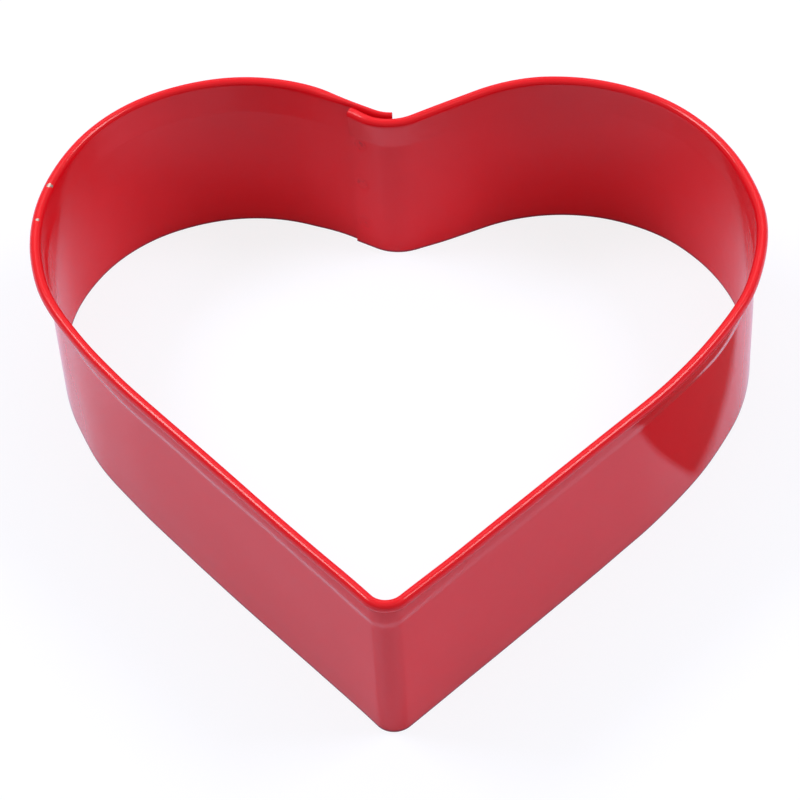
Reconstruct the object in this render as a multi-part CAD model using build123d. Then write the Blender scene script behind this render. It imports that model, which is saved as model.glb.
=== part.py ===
"""Heart cookie cutter: one coated tinplate strip with a rolled rim, lapped at the cleft and spot welded."""
from build123d import *
import os
from math import asin, atan2, cos, hypot, radians, sin, tan, degrees

# Strip: lengths in millimetres and angles in degrees, here and below
sheet = 0.35            # tinplate with its baked coating on both faces
strip_height = 25.4     # from the cutting edge to the top of the rim

# Rolled rim: above a soft crease the wall leans out as a neck, then curls over outwards
rim_diameter = 1.6
curl_sweep = 292.0
curl_flats = 12         # the curl is drawn in flats too short to tell from a round
neck_length = 4.3
neck_lean = 4.0
crease_radius = 2.2

# Bends that both halves of the heart share, measured to the middle of the sheet
tip_radius = 2.5
shoulder_radius = 77.0
flank_radius = 31.0
crown_radius = 24.3
cleft_radius = 6.2

# Right half, from the tip: straight side, then the turns of shoulder, flank and crown
right_side_angle = 46.1
right_side_run = 42.03
right_shoulder_turn = 17.7
right_flank_turn = 69.4
right_crown_turn = 71.6

# Left half, bent by hand to the same radii and a little different
left_side_angle = 48.4
left_side_run = 45.73
left_shoulder_turn = 16.1
left_flank_turn = 55.3
left_crown_turn = 90.0

# Lap: the right half's end lies inside the left half's end, and the rims lie side by side
lap_length = 3.3
ply_gap = 0.05
rim_clearance = 0.06
tail_turn = 30.0        # how far the outer end follows the bend of the cleft
ease_turn = 21.0        # stretch of the right crown over which the neck starts to tip inwards
crown_tip_share = 0.3   # of the lap's full tip, reached where the crown ends
cleft_tip_share = 0.75  # and where the bend of the cleft starts

# Spot welds: discs fused through both plies, each end pressed in by the electrode
weld_count = 3
weld_diameter = 2.2
weld_pitch = 7.4
lowest_weld = 4.3
weld_inset = 1.5        # from the inner ply's end
weld_dent = 0.06

up = Vector(0, 0, 1)
curl_radius = (rim_diameter - sheet) / 2
ply_pitch = sheet + ply_gap


def heading(angle):
    """Unit vector in the plan, turned from +X by the angle."""
    return Vector(cos(radians(angle)), sin(radians(angle)), 0)


def bead_reach(lean):
    """How far outside the wall the middle of the curl lies, for a neck with this lean."""
    return neck_length * sin(radians(lean)) + curl_radius * cos(radians(lean))


def lap_neck_lean():
    """Lean of the inner ply's neck that sets its rim just inside the outer ply's rim."""
    reach = bead_reach(neck_lean) + ply_pitch - rim_diameter - rim_clearance
    span = hypot(neck_length, curl_radius)
    return degrees(asin(reach / span) - atan2(curl_radius, neck_length))


def section(lean):
    """Cut across the sheet: wall, crease, neck and outward curl, with x outwards and y up."""
    bend = tan(radians(abs(lean) / 2)) * crease_radius
    curl_height = strip_height - rim_diameter / 2
    crease = curl_height - neck_length * cos(radians(lean)) + curl_radius * sin(radians(lean))
    along_neck = heading(90 - lean)
    wall = Line((0, 0, 0), (0, crease - bend, 0))
    fold = JernArc(wall @ 1, wall % 1, crease_radius, -lean)
    neck = Line(fold @ 1, fold @ 1 + along_neck * (neck_length - bend))
    middle = neck @ 1 + heading(-lean) * curl_radius
    turns = [180 - lean - curl_sweep * step / curl_flats for step in range(curl_flats + 1)]
    curl = Polyline([middle + heading(turn) * curl_radius for turn in turns])
    return trace(Wire([wall, fold, neck] + curl.edges()), sheet).face()


def across(edge, share, lean):
    """The section set square to the path at this share of the edge, its x pointing out of the heart."""
    along = edge % share
    return Plane(edge @ share, x_dir=up.cross(along), z_dir=along) * section(lean)


def half(side_angle, side_run, shoulder_turn, flank_turn, crown_turn, turn):
    """Bends of one half from the tip to the end of its crown; turn is 1 to the right, -1 to the left."""
    start = 90 - turn * 90
    tip = JernArc((0, 0, 0), heading(start), tip_radius, turn * side_angle)
    side = Line(tip @ 1, tip @ 1 + (tip % 1) * side_run)
    shoulder = JernArc(side @ 1, side % 1, shoulder_radius, turn * shoulder_turn)
    flank = JernArc(shoulder @ 1, shoulder % 1, flank_radius, turn * flank_turn)
    crown = JernArc(flank @ 1, flank % 1, crown_radius, turn * crown_turn)
    return [tip, side, shoulder, flank, crown]


def meet(first, along_first, second, along_second):
    """Point of the plan where two lines cross."""
    across_second = up.cross(along_second)
    travel = (second - first).dot(across_second) / along_first.dot(across_second)
    return first + along_first * travel


def heart_path():
    """Middle line of the strip in the plan, in three parts: inner end, right crown's easing, and the rest."""
    right = half(right_side_angle, right_side_run, right_shoulder_turn, right_flank_turn,
                 right_crown_turn - ease_turn, 1)
    left = half(left_side_angle, left_side_run, left_shoulder_turn, left_flank_turn, left_crown_turn, -1)
    ease = JernArc(right[-1] @ 1, right[-1] % 1, crown_radius, ease_turn)
    into_right, into_left = ease % 1, left[-1] % 1
    inwards = into_left.cross(up)
    corner = meet(ease @ 1, into_right, left[-1] @ 1 + inwards * ply_pitch, into_left)
    cleft_turn = radians(into_right.get_angle(into_left * -1))
    setback = cleft_radius * tan(cleft_turn / 2)
    bend_start = corner - into_left * setback
    inner = FilletPolyline(bend_start - into_left * lap_length, corner, ease @ 1, radius=cleft_radius)
    outer_run = Line(left[-1] @ 1, bend_start - inwards * ply_pitch)
    tail = JernArc(outer_run @ 1, outer_run % 1, cleft_radius - ply_pitch, tail_turn)
    return inner, ease, right, left, outer_run, tail


def reverse(edges):
    """The same edges run the other way, in order."""
    return [edge.reversed(reconstruct=True) for edge in reversed(edges)]


def cutter_strip(inner, ease, right, left, outer_run, tail, welds):
    """The whole strip: lap, bend of the cleft and easing with a tipped neck, then the plain heart."""
    lap, bend, run = inner.edges()
    tipped = lap_neck_lean()
    tip_by = tipped - neck_lean
    at_bend = neck_lean + tip_by * cleft_tip_share
    at_crown = neck_lean + tip_by * crown_tip_share
    back = ease.reversed(reconstruct=True)
    pieces = [
        sweep(across(lap, 0, tipped), path=lap),
        sweep([across(bend, 0, tipped), across(bend, 1, at_bend)], path=bend, multisection=True),
        sweep([across(run, 0, at_bend), across(run, 1, at_crown)], path=run, multisection=True),
        sweep([across(back, 0, at_crown), across(back, 1, neck_lean)], path=back, multisection=True),
    ]
    plain = Wire(reverse(right) + left + [outer_run, tail])
    first = plain.edges()[0]
    pieces.append(sweep(across(first, 0, neck_lean), path=plain))
    strip = pieces[0]
    for piece in pieces[1:]:
        strip = strip + piece
    for weld in welds:
        strip = strip - weld
    return strip


def weld_axes(lap):
    """Planes through the welds' middles, between the plies, each facing out of the heart."""
    outwards = up.cross(lap % 0)
    middle = lap @ 0 + (lap % 0) * weld_inset + outwards * (ply_pitch / 2)
    heights = [lowest_weld + weld_pitch * step for step in range(weld_count)]
    return [Plane(middle + up * height, x_dir=up, z_dir=outwards) for height in heights]


def main():
    os.makedirs("parts", exist_ok=True)
    path = heart_path()
    axes = weld_axes(path[0].edges()[0])
    bore = Cylinder(weld_diameter / 2, ply_pitch + 2 * sheet)
    disc = Cylinder(weld_diameter / 2, ply_pitch + sheet - 2 * weld_dent)
    strip = cutter_strip(*path, [axis * bore for axis in axes])
    welds = [axis * disc for axis in axes]
    centre = strip.bounding_box().center()
    home = Pos(-centre.X, -centre.Y, 0)
    export_step(home * strip, "parts/cutter_strip.step")
    export_step(home * Compound(children=welds), "parts/spot_welds.step")
    size = strip.bounding_box().size
    print(f"strip {size.X:.2f} x {size.Y:.2f} x {size.Z:.2f} mm, neck in the lap leans {lap_neck_lean():.1f} deg")


main()
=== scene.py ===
# %% [markdown]
# # Heart cookie cutter
#
# The object is one strip of tinplate. Its top edge is rolled over into a round rim, it is bent into a
# heart, its ends lap at the cleft and are spot welded, and the whole thing is then coated in baked red
# enamel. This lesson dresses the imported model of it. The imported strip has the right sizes, but flat
# facets and one plain colour, so a finer strip is made over it, bent in the same order as the real one.

from math import asin, atan2, ceil, cos, exp, hypot, pi, radians, sin, tan

import bmesh
import bpy
from mathutils import Matrix, Vector, geometry, noise


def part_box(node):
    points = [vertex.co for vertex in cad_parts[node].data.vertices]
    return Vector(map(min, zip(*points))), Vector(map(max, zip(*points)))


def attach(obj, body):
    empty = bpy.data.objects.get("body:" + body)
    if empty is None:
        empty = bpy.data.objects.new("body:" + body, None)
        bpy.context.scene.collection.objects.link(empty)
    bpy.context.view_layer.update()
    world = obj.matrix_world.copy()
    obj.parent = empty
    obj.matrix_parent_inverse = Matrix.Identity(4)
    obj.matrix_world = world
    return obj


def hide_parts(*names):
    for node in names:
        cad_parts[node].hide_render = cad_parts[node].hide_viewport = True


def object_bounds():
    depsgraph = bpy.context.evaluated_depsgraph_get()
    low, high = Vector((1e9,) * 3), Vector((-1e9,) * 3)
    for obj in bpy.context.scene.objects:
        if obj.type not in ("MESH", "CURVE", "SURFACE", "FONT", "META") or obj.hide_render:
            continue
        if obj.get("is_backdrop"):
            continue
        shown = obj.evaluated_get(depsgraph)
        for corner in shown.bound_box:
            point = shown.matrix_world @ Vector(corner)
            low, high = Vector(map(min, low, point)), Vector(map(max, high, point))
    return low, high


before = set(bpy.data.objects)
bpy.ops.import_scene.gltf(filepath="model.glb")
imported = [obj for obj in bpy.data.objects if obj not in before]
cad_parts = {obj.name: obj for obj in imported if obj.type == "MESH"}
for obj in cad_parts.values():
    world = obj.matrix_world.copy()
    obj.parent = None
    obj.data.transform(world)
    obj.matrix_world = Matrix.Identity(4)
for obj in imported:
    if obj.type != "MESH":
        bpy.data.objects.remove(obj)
cad_box = [list(corner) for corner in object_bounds()]
print("the packed model measures", [round(high - low, 4) for low, high in zip(*cad_box)], "m")

# %% [markdown]
# ## Sizes
#
# Every length is the maker's, in millimetres, times one unit. The strip is 25.4 mm deep. All plan sizes
# run along the middle of the sheet, because that line keeps its length when the sheet is bent. The two
# halves were bent by hand to the same radii, so their turns and runs differ a little. Near the lap the
# neck is tipped inwards, and two shares say how much of that is reached where the right crown ends and
# where the bend of the cleft starts.

# %% Sizes of the strip and of the two halves
mm = 0.001
up = Vector((0, 0, 1))

sheet = 0.35 * mm
strip_height = 25.4 * mm
rim_diameter = 1.6 * mm
curl_sweep = radians(292)
neck_length = 4.3 * mm
neck_lean = radians(4)
crease_radius = 2.2 * mm

tip_radius = 2.5 * mm
shoulder_radius = 77 * mm
flank_radius = 31 * mm
crown_radius = 24.3 * mm
cleft_radius = 6.2 * mm

right_side_turn = radians(46.1)
right_side_run = 42.03 * mm
right_shoulder_turn = radians(17.7)
right_flank_turn = radians(69.4)
right_crown_turn = radians(71.6)

left_side_turn = radians(48.4)
left_side_run = 45.73 * mm
left_shoulder_turn = radians(16.1)
left_flank_turn = radians(55.3)
left_crown_turn = radians(90)

lap_length = 3.3 * mm
ply_gap = 0.05 * mm
rim_clearance = 0.06 * mm
tail_turn = radians(30)
ease_turn = radians(21)
crown_tip_share = 0.3
cleft_tip_share = 0.75

curl_radius = (rim_diameter - sheet) / 2
ply_pitch = sheet + ply_gap
curl_height = strip_height - rim_diameter / 2
crease_height = curl_height - neck_length * cos(neck_lean) + curl_radius * sin(neck_lean)
fold_setback = tan(neck_lean / 2) * crease_radius
curl_start = crease_height + neck_length + crease_radius * neck_lean - 2 * fold_setback
flat_width = curl_start + curl_radius * curl_sweep
print(f"crease at {crease_height / mm:.2f} mm, strip {flat_width / mm:.2f} mm wide before it is rolled")

# %% [markdown]
# ## The route of the strip
#
# A bending jig works in moves: push the strip a length, or turn it round a die of some radius. The plan
# is written the same way, as a list of moves for each half, both starting at the tip of the heart. A
# move also says how far the neck is tipped inwards at its start and end, which matters near the lap.

# %% Moves of the bending jig
def run(length, tip=(0, 0)):
    """Push the strip straight on."""
    return {"length": length, "angle": 0.0, "tip": tip}


def bend(radius, angle, tip=(0, 0)):
    """Turn it round a die, to the left where the angle is positive."""
    return {"length": radius * abs(angle), "angle": angle, "tip": tip}


def ahead(heading):
    """Unit vector in the plan along a heading."""
    return Vector((cos(heading), sin(heading), 0))


def leftwards(heading):
    """Unit vector in the plan to the left of a heading."""
    return Vector((-sin(heading), cos(heading), 0))


def die_centre(place, heading, move):
    """Middle of the die that a bend goes round."""
    return place + leftwards(heading) * move["length"] / move["angle"]


def walk(place, heading, moves):
    """Place and heading at the end of the moves."""
    for move in moves:
        if move["angle"]:
            centre = die_centre(place, heading, move)
            place = centre + Matrix.Rotation(move["angle"], 3, "Z") @ (place - centre)
            heading = heading + move["angle"]
        else:
            place = place + ahead(heading) * move["length"]
    return place, heading


def half(hand, side_turn, side_run, shoulder_turn, flank_turn, crown_turn):
    """Moves of one half from the tip to the end of its crown; hand is 1 to the right, -1 to the left."""
    return [
        bend(tip_radius, hand * side_turn),
        run(side_run),
        bend(shoulder_radius, hand * shoulder_turn),
        bend(flank_radius, hand * flank_turn),
        bend(crown_radius, hand * crown_turn),
    ]


# %% [markdown]
# The two crowns come down to the cleft, where the right half's end lies inside the left half's. The bend
# of the cleft rounds off the corner where their lines cross, so that corner is found first and the last
# moves follow from it. The right crown is bent in two moves, because over its last stretch the neck starts
# to tip inwards.

# %% Close the heart at the cleft
right = half(1, right_side_turn, right_side_run, right_shoulder_turn, right_flank_turn, right_crown_turn)
left = half(-1, left_side_turn, left_side_run, left_shoulder_turn, left_flank_turn, left_crown_turn)
tip_place = Vector((0, 0, 0))
headings = {1: 0.0, -1: pi}

right_end, right_heading = walk(tip_place, headings[1], right)
left_end, left_heading = walk(tip_place, headings[-1], left)
into_right, into_left = ahead(right_heading), ahead(left_heading)
inwards = into_left.cross(up)
inner_start = left_end + inwards * ply_pitch
corner = geometry.intersect_line_line(
    right_end, right_end + into_right, inner_start, inner_start + into_left
)[0]
cleft_turn = into_right.angle(-into_left)
setback = cleft_radius * tan(cleft_turn / 2)
bend_start = corner - into_left * setback

right[-1:] = [
    bend(crown_radius, right_crown_turn - ease_turn),
    bend(crown_radius, ease_turn, tip=(0, crown_tip_share)),
    run((corner - right_end).length - setback, tip=(crown_tip_share, cleft_tip_share)),
    bend(cleft_radius, -cleft_turn, tip=(cleft_tip_share, 1)),
    run(lap_length, tip=(1, 1)),
]
left += [
    run((bend_start - inwards * ply_pitch - left_end).length),
    bend(cleft_radius - ply_pitch, tail_turn),
]
lengths = {1: sum(move["length"] for move in right), -1: sum(move["length"] for move in left)}
print(f"right half {lengths[1] / mm:.1f} mm, left half {lengths[-1] / mm:.1f} mm of strip")

# %% [markdown]
# ## The section of the strip
#
# Seen from its end the sheet is a line: a straight wall, a soft crease, a neck that leans out, and a curl
# that turns over outwards and stops short of closing. It could be drawn as a curve and given a thickness
# by a bevel, but then nothing could be changed between one station and the next. So it starts as a single
# vertex that is extruded upwards and spun round. Each vertex remembers its distance from the cutting edge.

# %% Helpers that draw with the spin operator
def spun(bm, geom, centre=(0, 0, 0), axis=(0, 0, 1), angle=0.0, push=(0, 0, 0)):
    """Extrude what leads once, turned about an axis or pushed along, and return what leads now."""
    grown = bmesh.ops.spin(
        bm, geom=geom, cent=centre, axis=axis, angle=angle, dvec=push, steps=1, use_duplicate=False
    )
    return grown["geom_last"]


def verts_of(geom):
    """The vertices among what an operator returns."""
    return [item for item in geom if isinstance(item, bmesh.types.BMVert)]


# %% Draw the section
fine_step = 0.14 * mm
fine_reach = 1.2 * mm
wall_step = 1.0 * mm
neck_step = 0.5 * mm
crease_steps = 2
curl_steps = 26


def draw_section(bm, height):
    """Wall, crease, neck and curl of the sheet at the tip, where outwards is -Y."""
    fold_start = crease_height - fold_setback
    leads = [bm.verts.new(tip_place)]
    leads[0][height] = 0.0

    def grow(length, steps, **how):
        """Lead the line on in steps, and note how far each vertex lies from the cutting edge."""
        nonlocal leads
        for _ in range(steps):
            reached = leads[0][height] + length / steps
            leads = verts_of(spun(bm, leads, **how))
            leads[0][height] = reached

    def straight(length, step, lean):
        """Lead it straight on, leaning outwards."""
        steps = ceil(length / step)
        grow(length, steps, push=Vector((0, -sin(lean), cos(lean))) * length / steps)

    straight(fold_start - fine_reach, wall_step, 0)
    straight(fine_reach, fine_step, 0)
    fold_centre = leads[0].co + Vector((0, -crease_radius, 0))
    grow(crease_radius * neck_lean, crease_steps, centre=fold_centre, axis=(1, 0, 0),
         angle=neck_lean / crease_steps)
    plain_neck = neck_length - fold_setback
    straight(fine_reach, fine_step, neck_lean)
    straight(plain_neck - fine_reach, neck_step, neck_lean)
    curl_centre = leads[0].co + Vector((0, -cos(neck_lean), -sin(neck_lean))) * curl_radius
    grow(curl_radius * curl_sweep, curl_steps, centre=curl_centre, axis=(1, 0, 0),
         angle=curl_sweep / curl_steps)
    return bm.edges[:]


# %% [markdown]
# ## Bending the strip
#
# The section is swept along the moves, one short step at a time. A path curve with a bevel object would be
# quicker, but a sweep in steps leaves a row of vertices at each station that can still be worked on by
# hand, as the maker's fingers and pliers did. Tight bends get more steps, so that no facet shows.

# %% Sweep one half
station_step = 0.7 * mm
finest_turn = radians(5)


def sweep_half(bm, front, moves, hand, along):
    """Grow the sheet along the moves. Each row holds its vertices, distance, heading, way out and tip."""
    place, heading, travelled, rows = tip_place, headings[hand], 0.0, []
    for move in moves:
        steps = ceil(max(move["length"] / station_step, abs(move["angle"]) / finest_turn))
        length, angle = move["length"] / steps, move["angle"] / steps
        for step in range(steps):
            part = {"length": length, "angle": angle}
            if angle:
                front = spun(bm, front, centre=die_centre(place, heading, part), angle=angle)
            else:
                front = spun(bm, front, push=ahead(heading) * length)
            place, heading = walk(place, heading, [part])
            travelled += length
            row_verts = verts_of(front)
            for vert in row_verts:
                vert[along] = hand * travelled
            low_tip, high_tip = move["tip"]
            rows.append({
                "verts": row_verts, "along": travelled, "heading": heading,
                "out": leftwards(heading) * -hand,
                "tip": low_tip + (high_tip - low_tip) * (step + 1) / steps,
            })
    return rows


# %% [markdown]
# ## What the lap does to the neck
#
# Two rims can't lie in the same place. Up to the crease the plies are flush, and above it the inner ply's
# neck is pushed inwards until its rim lies beside the outer one. The push fades out round the bend of the
# cleft and along the end of the right crown. Here it is done by hinging each row a little at every vertex
# near the crease, so that the fold keeps a soft radius.

# %% Tip the neck inwards near the lap
hinge_reach = 0.45 * mm


def lap_lean():
    """Lean of the inner ply's neck that sets its rim just inside the outer one."""
    outer_reach = neck_length * sin(neck_lean) + curl_radius * cos(neck_lean)
    reach = outer_reach + ply_pitch - rim_diameter - rim_clearance
    return asin(reach / hypot(neck_length, curl_radius)) - atan2(curl_radius, neck_length)


def tip_neck(bm, row, height, rim_top):
    """Hinge one row's neck inwards, and set it down again so that its rim keeps its level."""
    angle = (lap_lean() - neck_lean) * row["tip"]
    if not angle:
        return
    rising = sorted(row["verts"], key=lambda vert: vert[height])
    hinges = [vert for vert in rising if abs(vert[height] - crease_height) < hinge_reach]
    for hinge in hinges:
        above = rising[rising.index(hinge) + 1:]
        turn = Matrix.Rotation(angle / len(hinges), 3, up.cross(row["out"]))
        bmesh.ops.rotate(bm, cent=hinge.co, matrix=turn, verts=above)
    above = rising[rising.index(hinges[0]) + 1:]
    drop = max(vert.co.z for vert in above) - rim_top
    bmesh.ops.translate(bm, vec=up * -drop, verts=above)


# %% [markdown]
# ## Signs of hand work
#
# A perfect sweep looks printed. The real strip was set by hand, so its cutting edge, its crease and its
# rim stand a few tenths of a millimetre in or out from the jig's line. At the crease the sheet flares out,
# plainer on the left side than on the right, and above it the neck rounds in again. The table says by how
# much, every 8 mm. Between its rows the values are blended with soft weights, because a kink of one degree
# would show in the shine.

# %% How far the strip stands out from the jig's line
# mm from the tip, negative to the left: how far cutting edge, crease and rim stand out, and the flare
set_by_hand = {
    -133: (-0.50, -0.35, -0.11, 0.02), -125: (-0.55, -0.40, -0.09, 0.02),
    -117: (-0.58, -0.42, -0.30, 0.02), -109: (-0.30, -0.28, -0.26, 0.02),
    -101: (-0.13, -0.18, -0.37, 0.02), -93: (-0.05, -0.15, -0.44, 0.03),
    -85: (-0.42, -0.35, -0.32, 0.08), -77: (-0.68, -0.50, -0.20, 0.14),
    -69: (-0.47, -0.30, 0.17, 0.24), -61: (0.02, -0.02, -0.16, 0.32),
    -53: (-0.26, 0.00, -0.42, 0.34), -45: (-0.05, 0.06, -0.39, 0.34),
    -37: (0.07, 0.08, -0.42, 0.34), -29: (0.13, 0.08, -0.40, 0.34),
    -21: (0.10, 0.08, -0.33, 0.34), -13: (-0.02, 0.08, -0.36, 0.34),
    -5: (-0.08, 0.08, -0.52, 0.33), 3: (0.18, 0.10, -0.39, 0.26),
    11: (0.20, 0.12, -0.20, 0.14), 19: (0.23, 0.12, -0.24, 0.12),
    27: (0.26, 0.12, -0.23, 0.12), 35: (0.29, 0.12, -0.22, 0.13),
    43: (0.14, 0.10, -0.18, 0.14), 51: (0.04, 0.08, -0.06, 0.16),
    59: (0.18, 0.08, 0.08, 0.18), 67: (0.00, 0.05, 0.28, 0.18),
    75: (-0.08, 0.00, -0.02, 0.14), 83: (0.00, 0.05, 0.13, 0.08),
    91: (0.40, 0.25, -0.27, 0.03), 99: (0.45, 0.30, -0.31, 0.02),
    107: (0.36, 0.20, -0.36, 0.02), 115: (0.03, 0.00, -0.56, 0.02),
    123: (-0.14, -0.10, -0.45, 0.02), 131: (-0.20, -0.10, -0.20, 0.02),
}
set_in_lap = (0.00, 0.00, -0.25, 0.00)
blend_reach = 5.5


def stands_out(walked, in_lap):
    """The four values of the table at a distance from the tip, or those of the lap."""
    weights = {mark: exp(-((walked / mm - mark) / blend_reach) ** 2) for mark in set_by_hand}
    weight = sum(weights.values())
    free = [sum(weights[mark] * set_by_hand[mark][part] for mark in weights) / weight
            for part in range(len(set_in_lap))]
    return [(value + (held - value) * in_lap) * mm for value, held in zip(free, set_in_lap)]


print(len(set_by_hand), "rows in the table, from", min(set_by_hand), "to", max(set_by_hand), "mm")

# %% [markdown]
# The crease doesn't keep its level either. It wavers up and down a little, and it sags in two places: at
# the tip, and more plainly at the right shoulder.

# %% How far the crease drops
crease_waver = 0.16 * mm
crease_waver_length = 9 * mm
crease_waver_row = 3
# middle, reach and depth of the two places where the crease sags
crease_sags = ((-4 * mm, 5 * mm, 0.35 * mm), (64 * mm, 8 * mm, 1.3 * mm))


def crease_drop(walked):
    """How far the crease lies below its level at a distance from the tip."""
    sags = sum(depth * exp(-((walked - middle) / reach) ** 2) for middle, reach, depth in crease_sags)
    return sags + crease_waver * noise.noise(Vector((walked / crease_waver_length, crease_waver_row, 0)))


print("the crease drops", [round(crease_drop(middle) / mm, 2) for middle, _, _ in crease_sags], "mm")

# %% [markdown]
# Both are put on row by row. A row's vertices move out or in by a straight line from cutting edge to
# crease to rim, with the flare on top, and those about the crease move down with it. The plain wall also
# gets a slow waver of its own, which fades out before the crease and in the lap.

# %% Work one row by hand
lap_nears, lap_holds = -14 * mm, -8 * mm
wall_waver = 0.1 * mm
wall_waver_length = 22 * mm
wall_waver_row = 1
waver_fades, waver_stops = 0.45 * crease_height, 0.97 * crease_height
sag_starts = 0.5 * crease_height
flare_starts, flare_ends = -0.15 * mm, 1.55 * mm


def smooth(low, high, value):
    """0 below the low value, 1 above the high one, and a soft step between."""
    share = min(max((value - low) / (high - low), 0), 1)
    return share * share * (3 - 2 * share)


def work_by_hand(row, hand, height):
    """Push the vertices of one row in or out, and those by the crease down."""
    in_lap = smooth(lap_nears, lap_holds, row["along"] - lengths[hand])
    walked = hand * row["along"]
    foot, crease, rim, flare = stands_out(walked, in_lap)
    drop = crease_drop(walked)
    neck_span = curl_start - crease_height
    for vert in row["verts"]:
        rise = vert[height]
        above = rise - crease_height
        if above < 0:
            push = foot + (crease - foot) * rise / crease_height
            where = Vector((walked / wall_waver_length, rise / wall_waver_length, wall_waver_row))
            below_crease = 1 - smooth(waver_fades, waver_stops, rise)
            push += wall_waver * noise.noise(where) * below_crease * (1 - in_lap)
            near_crease = smooth(sag_starts, crease_height, rise)
        else:
            push = crease + (rim - crease) * min(above / neck_span, 1)
            near_crease = 1 - smooth(flare_ends, neck_span, above)
        back_in = min(max((above - flare_ends) / (neck_span - flare_ends), 0), 1)
        push += flare * (smooth(flare_starts, flare_ends, above) - back_in ** 2)
        vert.co += row["out"] * push - up * drop * near_crease


# %% [markdown]
# The rolled rim isn't quite round. It is pressed a little flatter from outside, and over the last few
# millimetres of the tail the pliers that closed the lap crushed it to about half its width and let it
# spring out a little.

# %% Flatten the rim
rim_flatness = 0.07
tail_flatness = 0.55
tail_nears, tail_holds = -12 * mm, -5.5 * mm
tail_spring = 0.28 * mm
end_nears, end_holds = -4.5 * mm, -2 * mm


def flatten_rim(row, hand, height):
    """Press one row's curl towards its inner side."""
    to_end = row["along"] - lengths[hand]
    in_tail = smooth(tail_nears, tail_holds, to_end) if hand < 0 else 0
    at_end = smooth(end_nears, end_holds, to_end) if hand > 0 else 0
    flatness = rim_flatness * (1 - at_end) + (tail_flatness - rim_flatness) * in_tail
    out = row["out"]
    curl = [vert for vert in row["verts"] if vert[height] > curl_start]
    inner_side = min(vert.co.dot(out) for vert in curl)
    for vert in curl:
        vert.co -= out * flatness * (vert.co.dot(out) - inner_side)
    for vert in row["verts"]:
        vert.co += out * tail_spring * in_tail * smooth(crease_height, curl_start, vert[height])


# %% Bend the whole strip
strip_mesh = bmesh.new()
height_layer = strip_mesh.verts.layers.float.new("height")
along_layer = strip_mesh.verts.layers.float.new("along")
section = draw_section(strip_mesh, height_layer)
section_verts = strip_mesh.verts[:]
first_row = section + section_verts
rim_top = max(vert.co.z for vert in section_verts)
print(len(section), "edges in the section, its rim tops out at", round(rim_top / mm, 3), "mm")

tip_row = {
    "verts": section_verts, "along": 0.0, "heading": headings[1],
    "out": -leftwards(headings[1]), "tip": 0.0,
}
rows = {hand: sweep_half(strip_mesh, first_row, moves, hand, along_layer)
        for hand, moves in ((1, right), (-1, left))}
low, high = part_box("cutter_strip")
xs = [vert.co.x for vert in strip_mesh.verts]
ys = [vert.co.y for vert in strip_mesh.verts]
middle = Vector(((min(xs) + max(xs)) / 2, (min(ys) + max(ys)) / 2, 0))
home = Vector(((low.x + high.x) / 2, (low.y + high.y) / 2, 0)) - middle
print("the strip will be set home by", [round(part / mm, 3) for part in home], "mm")

for hand, stations in ((1, [tip_row] + rows[1]), (-1, rows[-1])):
    for row in stations:
        tip_neck(strip_mesh, row, height_layer, rim_top)
        work_by_hand(row, hand, height_layer)
        flatten_rim(row, hand, height_layer)
print(len(rows[1]), "stations to the right and", len(rows[-1]), "to the left")

# %% [markdown]
# The inner ply's end wasn't sheared quite square: its rolled rim stops a little short of the wall below
# it, and is squeezed against the rim of the outer ply. The last rows are leant that way.

# %% Lean the inner end
end_setback = 0.25 * mm
end_squeeze = 0.26 * mm
end_reach = 3.0 * mm
for row in rows[1]:
    near_end = smooth(-end_reach, 0, row["along"] - lengths[1])
    lean = row["out"] * end_squeeze - ahead(row["heading"]) * end_setback
    for vert in row["verts"]:
        above_crease = smooth(crease_height, curl_height, vert[height_layer])
        vert.co += lean * near_end * above_crease

# %% Turn its faces outwards and set it home
bmesh.ops.recalc_face_normals(strip_mesh, faces=strip_mesh.faces[:])
strip_mesh.normal_update()
foot = min(tip_row["verts"], key=lambda vert: vert.co.z)
if foot.link_faces[0].normal.dot(tip_row["out"]) < 0:
    bmesh.ops.reverse_faces(strip_mesh, faces=strip_mesh.faces[:])
bmesh.ops.translate(strip_mesh, vec=home, verts=strip_mesh.verts[:])
print(len(strip_mesh.faces), "faces in the strip")

# %% [markdown]
# ## Where the welds pinch
#
# Two copper electrodes pinch the plies and a current fuses a small disc between them, three times, one
# above the other. Both plies are pressed in there. The sheet's squares are too coarse for such a dent, so
# those near a weld are subdivided before the plies are pushed together.

# %% Where the welds lie
weld_count = 3
weld_pitch = 7.4 * mm
lowest_weld = 4.3 * mm
weld_inset = 1.5 * mm


def weld_places():
    """Middles of the welds, between the plies, and the way out of the heart there."""
    lap_end, lap_heading = walk(tip_place, headings[1], right)
    out = -leftwards(lap_heading)
    foot = lap_end - ahead(lap_heading) * weld_inset + out * ply_pitch / 2 + home
    return [foot + up * (lowest_weld + weld_pitch * step) for step in range(weld_count)], out


places, lap_out = weld_places()
print("welds at", [[round(part / mm, 2) for part in place] for place in places], "mm")

# %% Press the plies in at the welds
weld_diameter = 2.2 * mm
weld_dent = 0.06 * mm
point_radius = 0.42 * weld_diameter
dent_radius = 0.56 * weld_diameter
dent_reach = 0.75 * weld_diameter
dent_cuts = 3


def beside(point, place, out):
    """Distance from the weld's axis."""
    offset = point - place
    return (offset - out * offset.dot(out)).length


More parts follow.
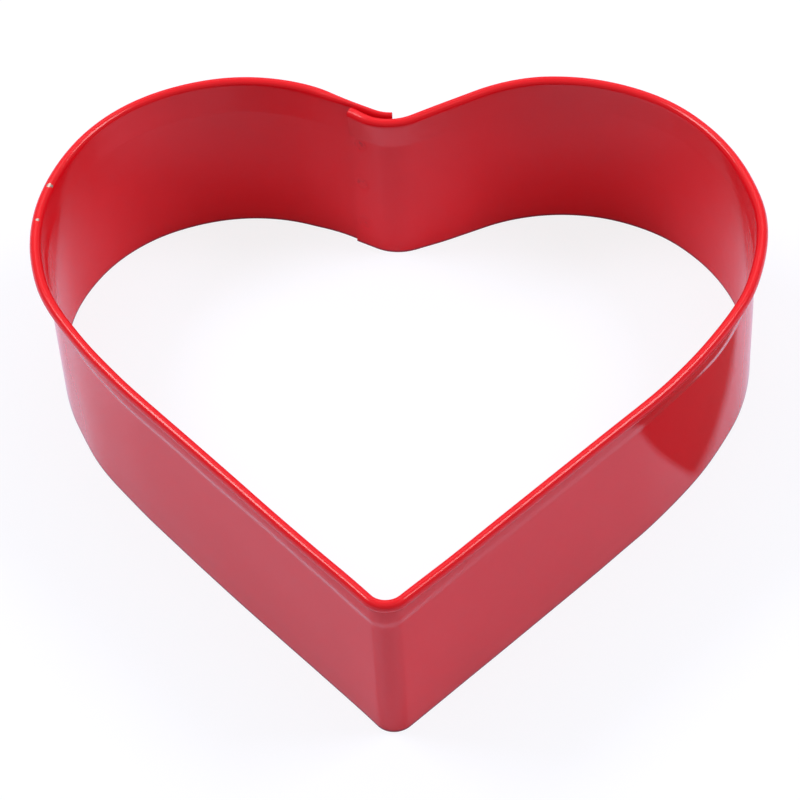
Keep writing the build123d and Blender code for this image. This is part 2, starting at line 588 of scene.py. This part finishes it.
def press_plies(bm, place, out):
    """Subdivide both plies round one weld and push them towards its middle."""
    near = [face for face in bm.faces
            if beside(face.calc_center_median(), place, out) < dent_reach
            and abs((face.calc_center_median() - place).dot(out)) < weld_diameter]
    edges = list({edge for face in near for edge in face.edges})
    bmesh.ops.subdivide_edges(bm, edges=edges, cuts=dent_cuts, use_grid_fill=True)
    for vert in bm.verts:
        distance = beside(vert.co, place, out)
        depth = (vert.co - place).dot(out)
        if distance < dent_reach and abs(depth) < weld_diameter:
            pressed = weld_dent * (1 - smooth(point_radius, dent_radius, distance))
            vert.co -= out * (pressed if depth > 0 else -pressed)


for place in places:
    press_plies(strip_mesh, place, lap_out)
print(len(strip_mesh.faces), "faces in the strip with its dents")

# %% [markdown]
# ## From a folded line to a sheet
#
# Each corner of a face gets its place on the unrolled strip as its UV, because the marks of the rolls run
# along the sheet wherever it bends. A Solidify modifier then gives the metal its thickness to both sides
# of the middle line, and a Bevel rounds the sheared edges.

# %% Finish the sheet's surface
unrolled = strip_mesh.loops.layers.uv.new("unrolled")
for face in strip_mesh.faces:
    face.smooth = True
    for loop in face.loops:
        loop[unrolled].uv = (loop.vert[along_layer], loop.vert[height_layer])


# %% A piece from a mesh
def piece(name, bm):
    """Object made of a finished mesh, in place, riding on the cutter's one body."""
    mesh = bpy.data.meshes.new(name)
    bm.to_mesh(mesh)
    bm.free()
    thing = bpy.data.objects.new(name, mesh)
    bpy.context.scene.collection.objects.link(thing)
    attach(thing, "root")
    return thing


# %% Give the sheet its thickness
edge_round = 0.06 * mm
strip_piece = piece("Enamelled_strip", strip_mesh)
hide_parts("cutter_strip")

thickness = strip_piece.modifiers.new("Sheet thickness", "SOLIDIFY")
thickness.thickness = sheet
thickness.offset = 0
thickness.use_even_offset = True
thickness.material_offset = 1
thickness.material_offset_rim = 2

rounding = strip_piece.modifiers.new("Rounded edges", "BEVEL")
rounding.width = edge_round
rounding.segments = 2
rounding.limit_method = "ANGLE"
rounding.angle_limit = radians(60)
rounding.harden_normals = True

# %% [markdown]
# ## The welds themselves
#
# Each weld is a disc of metal through both plies. A cone with two equal ends makes it, because it comes
# closed and with its end faces whole. The ends are inset and pressed in a little more, as the rounded
# point of the electrode leaves them, and they stand a hair above the dents in the sheet.

# %% Make the welds
weld_sides = 48
weld_stand = 0.012 * mm
dish_inset = 0.2 * mm
dish_depth = 0.01 * mm


def add_weld(bm, place, out):
    """One disc through both plies, its ends dished."""
    reach = ply_pitch / 2 + sheet / 2 - weld_dent + weld_stand
    lying = up.rotation_difference(out).to_matrix().to_4x4()
    disc = bmesh.ops.create_cone(
        bm, cap_ends=True, cap_tris=False, segments=weld_sides, radius1=point_radius,
        radius2=point_radius, depth=2 * reach, matrix=Matrix.Translation(place) @ lying,
    )
    ends = {face for vert in disc["verts"] for face in vert.link_faces if len(face.verts) == weld_sides}
    for end in ends:
        bmesh.ops.inset_region(bm, faces=[end], thickness=dish_inset)
        bmesh.ops.translate(bm, vec=end.normal * -dish_depth, verts=end.verts)


weld_mesh = bmesh.new()
for place in places:
    add_weld(weld_mesh, place, lap_out)
bmesh.ops.recalc_face_normals(weld_mesh, faces=weld_mesh.faces[:])
print("welds:", len(weld_mesh.faces), "faces")
weld_piece = piece("Weld_discs", weld_mesh)
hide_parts("spot_welds")

# %% [markdown]
# ## Colours and a helper for nodes
#
# Colours are written as they look on a screen, in hex, and one function turns them into the linear values
# that a renderer reckons in. One more adds a node, so that a material reads as a list of what is in it.

# %% Helpers for materials
def linear(code):
    """Linear red, green, blue and alpha of a screen colour such as C01F2E, by the curve of sRGB."""
    channels = [int(code[at:at + 2], 16) / 255 for at in (0, 2, 4)]
    return [c / 12.92 if c <= 0.04045 else ((c + 0.055) / 1.055) ** 2.4 for c in channels] + [1.0]


def add(tree, kind, settings=None, links=None):
    """Add a node, set its properties or unlinked inputs, and link its inputs to other nodes' outputs."""
    node = tree.nodes.new("ShaderNode" + kind)
    for name, value in (settings or {}).items():
        if isinstance(name, int) or name in node.inputs:
            node.inputs[name].default_value = value
        else:
            setattr(node, name, value)
    for name, output in (links or {}).items():
        tree.links.new(output, node.inputs[name])
    return node


def start(name):
    """A new material and its tree, cleared of every node."""
    material = bpy.data.materials.new(name)
    material.use_nodes = True
    material.node_tree.nodes.clear()
    return material, material.node_tree


# %% [markdown]
# ## Baked red enamel
#
# The coating is a stoving enamel, sprayed on and baked. It is opaque, evenly red and glossy, with the
# shallow ripple called orange peel and, under it, the faint lines that the rolling mill left along the
# sheet. Its gloss comes from its index of refraction, so it grows whiter towards a glancing view. On the
# tight round of the rim it baked less smooth. Just above the cutting edge it is thin and the steel shows
# through, and two chips in it bare the tin.

# %% Ripple of the enamel
peel_size = 1.3 * mm
peel_depth = 0.0016 * mm
roll_mark_length = 40 * mm
roll_mark_pitch = 0.5 * mm
roll_mark_depth = 0.0012 * mm


def surface_ripple(tree, place, unrolled_place):
    """Bump of orange peel over roll marks."""
    stretch = (1 / roll_mark_length, 1 / roll_mark_pitch, 1)
    lines = add(tree, "Mapping", {"Scale": stretch}, {"Vector": unrolled_place})
    rolled = add(tree, "TexNoise", {"Scale": 1.0, "Detail": 2.0}, {"Vector": lines.outputs[0]})
    low = add(tree, "Bump", {"Distance": roll_mark_depth}, {"Height": rolled.outputs[0]})
    peel = add(tree, "TexNoise", {"Scale": 1 / peel_size, "Detail": 1.0}, {"Vector": place})
    return add(tree, "Bump", {"Distance": peel_depth},
               {"Height": peel.outputs[0], "Normal": low.outputs[0]})


print(f"orange peel {peel_size / mm:.1f} mm across, roll marks {roll_mark_pitch / mm:.1f} mm apart")

# %% Chips in the enamel
# of each chip, its distance from the tip, its height on the unrolled strip, and its size
chips = ((-90.7 * mm, 25.4 * mm, 0.6 * mm), (-83.9 * mm, 25.5 * mm, 0.42 * mm))
chip_grain_share = 0.5
chip_limit = 1.1


def near_spot(tree, unrolled_place, place, along, height, size):
    """1 inside a ragged spot of about that size on the unrolled strip, 0 outside it."""
    grain = chip_grain_share * size
    ragged = add(tree, "TexNoise", {"Scale": 1 / grain, "Detail": 2.0}, {"Vector": place})
    away = add(tree, "VectorMath", {"operation": "DISTANCE", 1: (along, height, 0)}, {0: unrolled_place})
    share = add(tree, "Math", {"operation": "DIVIDE", 1: size}, {0: away.outputs["Value"]})
    edge = add(tree, "Math", {"operation": "ADD"}, {0: share.outputs[0], 1: ragged.outputs[0]})
    return add(tree, "Math", {"operation": "LESS_THAN", 1: chip_limit}, {0: edge.outputs[0]}).outputs[0]


# %% Baked red enamel
enamel_red = linear("DC121E")
enamel_deep = linear("D10E1A")
edge_film = linear("7A2A3C")
bare_tin = linear("C2AAA2")
film_height = 0.45 * mm
cloud_size = 12 * mm
smoothest_share, roughest_share = 0.8, 1.25
rim_roughness = 0.2


def baked_enamel(name, index_of_refraction, roughness):
    """Enamel of one face, with the index of refraction and roughness given for that face."""
    material, tree = start(name)
    place = add(tree, "TexCoord").outputs["Object"]
    flat = add(tree, "UVMap", {"uv_map": "unrolled"}).outputs["UV"]
    clouds = add(tree, "TexNoise", {"Scale": 1 / cloud_size, "Detail": 3.0}, {"Vector": place})
    red = add(tree, "MixRGB", {"Color1": enamel_deep, "Color2": enamel_red}, {"Fac": clouds.outputs[0]})
    height = add(tree, "SeparateXYZ", links={0: flat}).outputs["Y"]
    thin = add(tree, "MapRange", {"From Max": film_height, "To Min": 1.0, "To Max": 0.0},
               {"Value": height})
    edged = add(tree, "MixRGB", {"Color2": edge_film}, {"Fac": thin.outputs[0], "Color1": red.outputs[0]})
    masks = [near_spot(tree, flat, place, *chip) for chip in chips]
    chipped = add(tree, "Math", {"operation": "MAXIMUM"}, {0: masks[0], 1: masks[1]}).outputs[0]
    colour = add(tree, "MixRGB", {"Color2": bare_tin}, {"Fac": chipped, "Color1": edged.outputs[0]})
    plain = add(tree, "MapRange", {
        "To Min": smoothest_share * roughness, "To Max": roughest_share * roughness,
    }, {"Value": clouds.outputs[0]})
    on_rim = add(tree, "MapRange", {
        "From Min": curl_start - curl_radius, "From Max": curl_start + curl_radius,
        "To Max": rim_roughness,
    }, {"Value": height})
    rough = add(tree, "Math", {"operation": "MAXIMUM"}, {0: plain.outputs[0], 1: on_rim.outputs[0]})
    normal = surface_ripple(tree, place, flat)
    shader = add(tree, "BsdfPrincipled", {"IOR": index_of_refraction}, {
        "Base Color": colour.outputs[0], "Roughness": rough.outputs[0], "Metallic": chipped,
        "Normal": normal.outputs[0],
    })
    add(tree, "OutputMaterial", links={"Surface": shader.outputs[0]})
    return material


# %% [markdown]
# ## The sheared edge
#
# Enamel shrinks away from a sharp edge as it bakes, so the cut faces of the sheet carry only a thin film
# and look dark and a little purple, from the steel that shows through.

# %% Thin enamel on the sheared edge
edge_steel = linear("5C3A4A")
shear_pitch = 0.4 * mm
shear_depth = 0.01 * mm
film_index = 1.5
film_roughness = 0.45


def sheared_edge():
    """Film over torn metal, as the shear left it."""
    material, tree = start("Thin enamel over sheared steel")
    place = add(tree, "TexCoord").outputs["Object"]
    torn = add(tree, "TexNoise", {"Scale": 1 / shear_pitch, "Detail": 2.0}, {"Vector": place})
    colour = add(tree, "MixRGB", {"Color1": edge_film, "Color2": edge_steel}, {"Fac": torn.outputs[0]})
    rough = add(tree, "Bump", {"Distance": shear_depth}, {"Height": torn.outputs[0]})
    shader = add(tree, "BsdfPrincipled", {"IOR": film_index, "Roughness": film_roughness}, {
        "Base Color": colour.outputs[0], "Normal": rough.outputs[0],
    })
    add(tree, "OutputMaterial", links={"Surface": shader.outputs[0]})
    return material


# %% [markdown]
# ## Enamel over a weld
#
# The weld scorches the tin, and the enamel lies thinner and duller over it, with a darker patch where the
# electrode's edge bit.

# %% Enamel over a weld
weld_red = linear("D4101C")
weld_scorch = linear("B0121C")
scorch_size = 0.9 * mm
scorch_starts, scorch_full = 0.52, 0.68
pit_depth = 0.02 * mm
weld_index = 1.33
weld_roughness = 0.2


def enamelled_weld():
    """Enamel that lies thin over scorched and pitted tin."""
    material, tree = start("Enamel over a spot weld")
    place = add(tree, "TexCoord").outputs["Object"]
    burnt = add(tree, "TexNoise", {"Scale": 1 / scorch_size, "Detail": 2.0}, {"Vector": place})
    patch = add(tree, "MapRange", {"From Min": scorch_starts, "From Max": scorch_full},
                {"Value": burnt.outputs[0]})
    colour = add(tree, "MixRGB", {"Color1": weld_red, "Color2": weld_scorch}, {"Fac": patch.outputs[0]})
    dent = add(tree, "Bump", {"Distance": pit_depth}, {"Height": burnt.outputs[0]})
    shader = add(tree, "BsdfPrincipled", {"IOR": weld_index, "Roughness": weld_roughness}, {
        "Base Color": colour.outputs[0], "Normal": dent.outputs[0],
    })
    add(tree, "OutputMaterial", links={"Surface": shader.outputs[0]})
    return material


# %% [markdown]
# The strip takes three materials, in the order in which the Solidify modifier counts: the outer face, the
# inner face, which the rolling turned over into the outside of the rim, and the sheared edges. The inner
# face is a shaded copy of the outer one: its lower index of refraction is painted shade, which makes the
# walls inside the heart mirror less of the floor, as if the floor there lay in shadow.

# %% Give the pieces their materials
outer_index, outer_roughness = 1.45, 0.08
# the inner face's lower index of refraction is painted shade: its walls mirror less of the floor
inner_painted_shade_index, inner_roughness = 1.33, 0.13

strip_piece.data.materials.append(
    baked_enamel("Baked red enamel, outer face", outer_index, outer_roughness))
strip_piece.data.materials.append(
    baked_enamel("Baked red enamel, inner face", inner_painted_shade_index, inner_roughness))
strip_piece.data.materials.append(sheared_edge())
weld_piece.data.materials.append(enamelled_weld())
print("materials:", [material.name for material in strip_piece.data.materials])

# %% [markdown]
# ## Floor, sky and lamps
#
# The cutter stands on a plain pale floor under a pale sky that grows brighter towards the top. Softboxes
# hang high to the left, to the right and behind. They light whatever faces up, so the rim is bright and
# the walls, which mostly the floor lights, are deeper. Seen from the camera they also draw the fine line
# that runs along the rim, because the rim's round mirrors one of them wherever it goes.

# %% Floor
floor_reach = 3000 * mm
floor_colour = linear("E1E5FF")
camera_white_share = 0.82
mirrored_white_share = 0.1


def white_share(tree):
    """How much of the floor shows as plain white: most to the camera, some to a reflection or glass."""
    path = add(tree, "LightPath")
    mirrored = add(tree, "Math", {"operation": "MAXIMUM"},
                   {0: path.outputs["Is Glossy Ray"], 1: path.outputs["Is Transmission Ray"]})
    some = add(tree, "Math", {"operation": "MULTIPLY", 1: mirrored_white_share}, {0: mirrored.outputs[0]})
    return add(tree, "Math", {"operation": "MULTIPLY_ADD", 1: camera_white_share},
               {0: path.outputs["Is Camera Ray"], 2: some.outputs[0]}).outputs[0]


def pale_floor():
    """Matt and pale, with a share of plain white. The matt share keeps the cutter's shadow."""
    material, tree = start("Pale studio floor")
    matt = add(tree, "BsdfDiffuse", {"Color": floor_colour})
    white = add(tree, "Emission", {"Color": (1, 1, 1, 1), "Strength": 1.0})
    both = add(tree, "MixShader", links={0: white_share(tree), 1: matt.outputs[0], 2: white.outputs[0]})
    add(tree, "OutputMaterial", links={"Surface": both.outputs[0]})
    return material


def flat_square(name, reach, matrix, material):
    """Square stage piece that lies level and reaches so far each way."""
    bm = bmesh.new()
    bm.loops.layers.uv.new("across")
    bmesh.ops.create_grid(bm, x_segments=1, y_segments=1, size=reach, matrix=matrix, calc_uvs=True)
    mesh = bpy.data.meshes.new(name)
    bm.to_mesh(mesh)
    bm.free()
    square = bpy.data.objects.new(name, mesh)
    bpy.context.scene.collection.objects.link(square)
    square.data.materials.append(material)
    square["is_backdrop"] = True
    return square


flat_square("Floor", floor_reach, Matrix.Identity(4), pale_floor())
print("floor", 2 * floor_reach, "m wide")

# %% [markdown]
# The right shoulder mirrors something dark, with a slanting border. That darkness is painted shadow: a
# grey sheet lies on the floor with one corner at the strip's foot and stands in for the cast shadow there.
# Its border fades into the floor, and it is seen by reflections only. Its UV runs from 0 to 1 across it,
# so half a UV from the middle is its border.

# %% Painted floor shadow
painted_shadow_reach = 18 * mm
painted_shadow_lift = 0.15 * mm
painted_shadow_corner = Vector((38.7 * mm, -5.9 * mm, painted_shadow_lift))
painted_shadow_turn = radians(-39)
painted_shadow_fade = 1.6 * mm
painted_shadow_grey = linear("6E6A6C")


def painted_floor_shadow():
    """Painted shadow, grey in the middle and clear at the border."""
    material, tree = start("Painted shadow on the floor, matt grey")
    across = add(tree, "SeparateXYZ", links={0: add(tree, "UVMap", {"uv_map": "across"}).outputs["UV"]})
    half_uv, fade_uv = 0.5, painted_shadow_fade / (2 * painted_shadow_reach)
    inside = []
    for part in ("X", "Y"):
        off_middle = add(tree, "Math", {"operation": "SUBTRACT", 1: half_uv}, {0: across.outputs[part]})
        aside = add(tree, "Math", {"operation": "ABSOLUTE"}, {0: off_middle.outputs[0]})
        inside.append(add(
            tree, "MapRange", {"From Min": half_uv, "From Max": half_uv - fade_uv},
            {"Value": aside.outputs[0]},
        ).outputs[0])
    solid = add(tree, "Math", {"operation": "MULTIPLY"}, {0: inside[0], 1: inside[1]})
    clear = add(tree, "BsdfTransparent")
    matt = add(tree, "BsdfDiffuse", {"Color": painted_shadow_grey})
    both = add(tree, "MixShader", links={0: solid.outputs[0], 1: clear.outputs[0], 2: matt.outputs[0]})
    add(tree, "OutputMaterial", links={"Surface": both.outputs[0]})
    return material


# painted shadow: a grey sheet on the floor that only reflections see
painted_shadow_lies = (Matrix.Translation(painted_shadow_corner) @ Matrix.Rotation(painted_shadow_turn, 4, "Z")
             @ Matrix.Translation((painted_shadow_reach, painted_shadow_reach, 0)))
painted_shadow = flat_square("Painted floor shadow", painted_shadow_reach, painted_shadow_lies, painted_floor_shadow())
painted_shadow.visible_camera = painted_shadow.visible_diffuse = painted_shadow.visible_shadow = False
print("painted_shadow", 2 * painted_shadow_reach / mm, "mm wide")

# %% [markdown]
# The sky lights the cutter softly, and mostly from above. The camera would see it plain white, and so
# would glass, and the enamel mirrors it at half that strength or more. Its height is 0 at the horizon and
# 1 overhead.

# %% Pale sky
sky_sides = 0.12
sky_top = 0.76
sky_mirrored = 0.5
brightens_from, brightest_from = 0.5, 0.8


def pale_sky():
    """World that brightens upwards. The camera and reflections see it whiter than it lights."""
    world = bpy.data.worlds.new("Pale sky")
    world.use_nodes = True
    tree = world.node_tree
    tree.nodes.clear()
    way = add(tree, "TexCoord").outputs["Generated"]
    height = add(tree, "SeparateXYZ", links={0: way}).outputs["Z"]
    level = add(tree, "MapRange", {
        "From Min": brightens_from, "From Max": brightest_from, "To Min": sky_sides, "To Max": sky_top,
    }, {"Value": height})
    path = add(tree, "LightPath")
    mirrored = add(tree, "Math", {"operation": "MULTIPLY", 1: sky_mirrored},
                   {0: path.outputs["Is Glossy Ray"]})
    seen = add(tree, "Math", {"operation": "MAXIMUM"},
               {0: path.outputs["Is Camera Ray"], 1: path.outputs["Is Transmission Ray"]})
    white = add(tree, "Math", {"operation": "MAXIMUM"}, {0: seen.outputs[0], 1: mirrored.outputs[0]})
    strength = add(tree, "Math", {"operation": "MAXIMUM"}, {0: level.outputs[0], 1: white.outputs[0]})
    sky = add(tree, "Background", {"Color": (1, 1, 1, 1)}, {"Strength": strength.outputs[0]})
    add(tree, "OutputWorld", links={"Surface": sky.outputs[0]})
    return world


bpy.context.scene.world = pale_sky()
print("sky", sky_sides, "at the sides and", sky_top, "overhead")

# %% Softboxes
box_distance = 900 * mm


def softbox(name, azimuth, elevation, width, height, radiance):
    """Area lamp aimed at the object. Its azimuth runs from the camera's side round to the right, and a
    radiance of 1 looks white."""
    lamp = bpy.data.lights.new(name, "AREA")
    lamp.shape = "RECTANGLE"
    lamp.size, lamp.size_y = width, height
    lamp.energy = radiance * pi * width * height
    box = bpy.data.objects.new(name, lamp)
    away = Vector((sin(azimuth) * cos(elevation), -cos(azimuth) * cos(elevation), sin(elevation)))
    box.location = away * box_distance
    box.rotation_euler = away.to_track_quat("Z", "Y").to_euler()
    bpy.context.scene.collection.objects.link(box)
    print(name, round(lamp.energy, 2), "W")


softbox("Softbox left", azimuth=radians(-112), elevation=radians(50),
        width=400 * mm, height=240 * mm, radiance=16.0)
softbox("Softbox right", azimuth=radians(104), elevation=radians(50),
        width=400 * mm, height=300 * mm, radiance=12.0)
softbox("Softbox behind", azimuth=radians(180), elevation=radians(49),
        width=700 * mm, height=200 * mm, radiance=1.5)

# %% [markdown]
# ## The camera
#
# The photograph looks down at 46.5 degrees from a little to the right, with a long lens, and the camera
# was held a few degrees off level. It is set by those angles and by the point of the floor that it looks
# at.

# %% Camera
view_turn = radians(-3.21)
view_drop = radians(46.5)
view_roll = radians(-3.33)
view_distance = 458.1 * mm
aim_point = Vector((-0.305 * mm, 9.75 * mm, 0))
lens_mm = 151.2


def photo_camera():
    """Camera turned, tilted and rolled about its line of sight as the photograph's was."""
    lens = bpy.data.cameras.new("Photo camera")
    lens.lens = lens_mm
    lens.clip_start, lens.clip_end = view_distance / 10, view_distance * 20
    camera = bpy.data.objects.new("Photo camera", lens)
    towards = Vector((sin(view_turn) * cos(view_drop), cos(view_turn) * cos(view_drop), -sin(view_drop)))
    level = Vector((cos(view_turn), -sin(view_turn), 0))
    sideways = Matrix.Rotation(-view_roll, 3, towards) @ level
    above = sideways.cross(towards)
    turned = Matrix((sideways, above, -towards)).transposed().to_4x4()
    camera.matrix_world = Matrix.Translation(aim_point - towards * view_distance) @ turned
    bpy.context.scene.collection.objects.link(camera)
    return camera


bpy.context.scene.camera = photo_camera()
bpy.context.scene.view_settings.view_transform = "Standard"
print("camera at", [round(part, 4) for part in bpy.context.scene.camera.location], "m")

# %% Compare the sizes and finish
bpy.context.view_layer.update()
visual_box = [list(corner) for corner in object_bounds()]
for low_cad, high_cad, low_seen, high_seen in zip(*cad_box, *visual_box):
    print(f"packed {low_cad / mm:.2f} to {high_cad / mm:.2f} mm, dressed {low_seen / mm:.2f} to "
          f"{high_seen / mm:.2f} mm")
